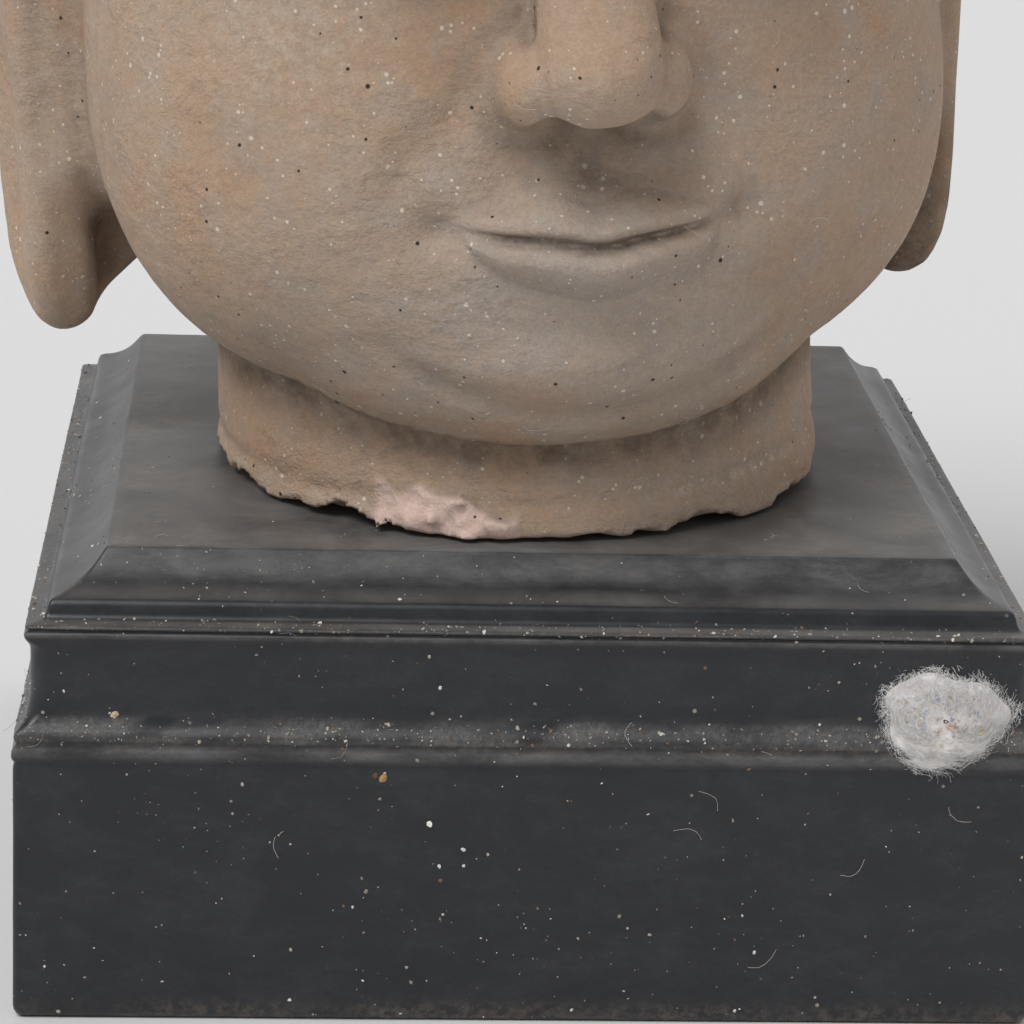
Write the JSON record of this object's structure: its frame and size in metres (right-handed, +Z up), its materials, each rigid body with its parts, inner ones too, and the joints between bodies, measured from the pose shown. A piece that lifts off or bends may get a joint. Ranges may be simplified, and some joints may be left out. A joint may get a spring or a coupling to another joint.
{
  "type": "stone buddha head on a moulded wooden plinth",
  "caption": "Life-size carved stone buddha head with long ear lobes and curled hair, broken at the neck, resting on a square black moulded plinth.",
  "frame": {"origin": "centre of the plinth's underside, on the surface that it stands on", "axes": "+Z up along the plinth's axis, -Y out of the plinth's front, on the face's side, +X to the viewer's right"},
  "size_m": [0.1925, 0.2048, 0.3604],
  "materials": {
    "black_wood": "black lacquered wood, satin, dusty on its upward faces, worn at the edges",
    "stone": "fine tan sandstone, matt, mottled grey and orange, with pinholes and pale grains",
    "lint": "loose white and grey fibres, fluffy, caught on the surface"
  },
  "bodies": {
    "root": {"plinth": "black_wood", "buddha_head": "stone"}
  },
  "joints": []
}
